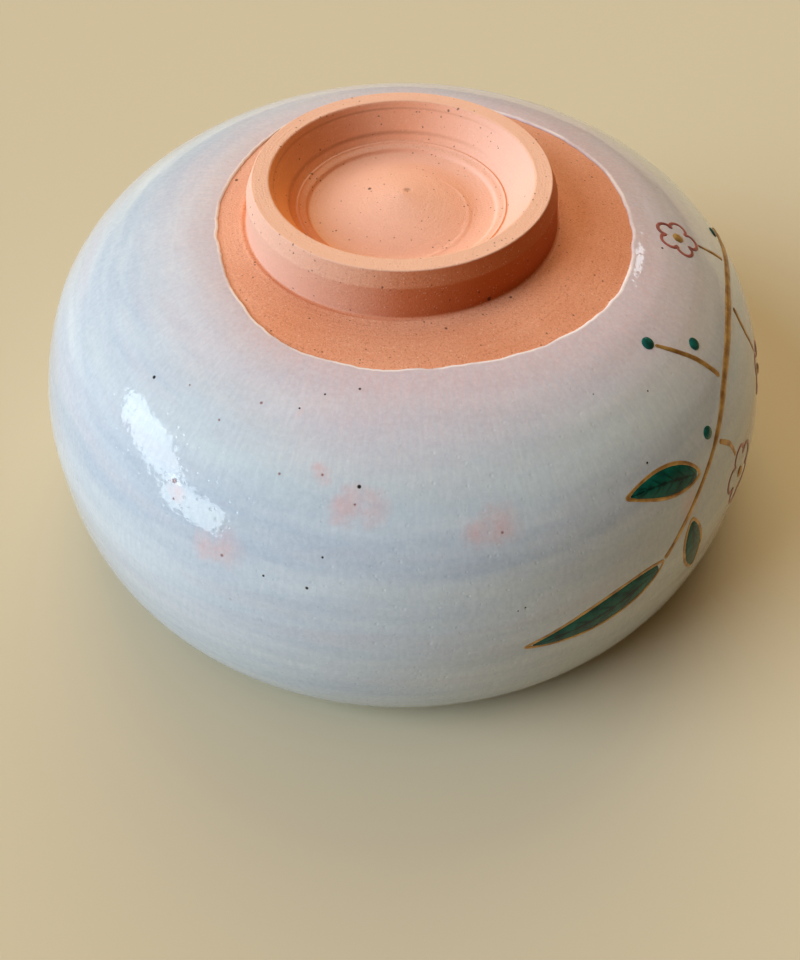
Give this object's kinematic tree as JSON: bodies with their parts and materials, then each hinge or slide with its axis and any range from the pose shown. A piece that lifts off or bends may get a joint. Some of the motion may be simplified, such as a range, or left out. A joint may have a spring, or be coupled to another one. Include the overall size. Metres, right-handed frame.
{
  "type": "tea bowl",
  "caption": "Shallow round tea bowl with a trimmed foot ring, an off-centre glaze line and a sparse raised enamel spray, stored turned over on its lip.",
  "frame": {"origin": "centre of the resting plane under the lip, on the bowl's axis; the bowl is stored turned over, with its foot up", "axes": "+Z from the lip plane to the foot; the picture's camera stands on the -Y side, and +X is to its right"},
  "size_m": [0.144, 0.144, 0.067],
  "materials": {
    "clay": "bare fired stoneware, matt, salmon orange with iron specks",
    "glaze": "glossy pale blue-grey glaze with pink flushes and iron specks",
    "gold_enamel": "worn matt gold overglaze line",
    "green_enamel": "glossy green overglaze enamel",
    "red_enamel": "dark red overglaze line"
  },
  "bodies": {
    "root": {"clay_body": "clay", "glaze_coat": "glaze", "stem": "gold_enamel", "bud_twig": "gold_enamel", "upper_twig": "gold_enamel", "lower_twig": "gold_enamel", "short_twig": "gold_enamel", "leaf_fill_1": "green_enamel", "leaf_line_1": "gold_enamel", "leaf_fill_2": "green_enamel", "leaf_line_2": "gold_enamel", "leaf_fill_3": "green_enamel", "leaf_line_3": "gold_enamel", "blossom_line_1": "red_enamel", "blossom_centre_1": "gold_enamel", "blossom_line_2": "red_enamel", "blossom_centre_2": "gold_enamel", "blossom_line_3": "red_enamel", "blossom_centre_3": "gold_enamel", "bud_1": "green_enamel", "bud_2": "green_enamel", "bud_3": "green_enamel", "bud_4": "green_enamel"}
  },
  "joints": []
}
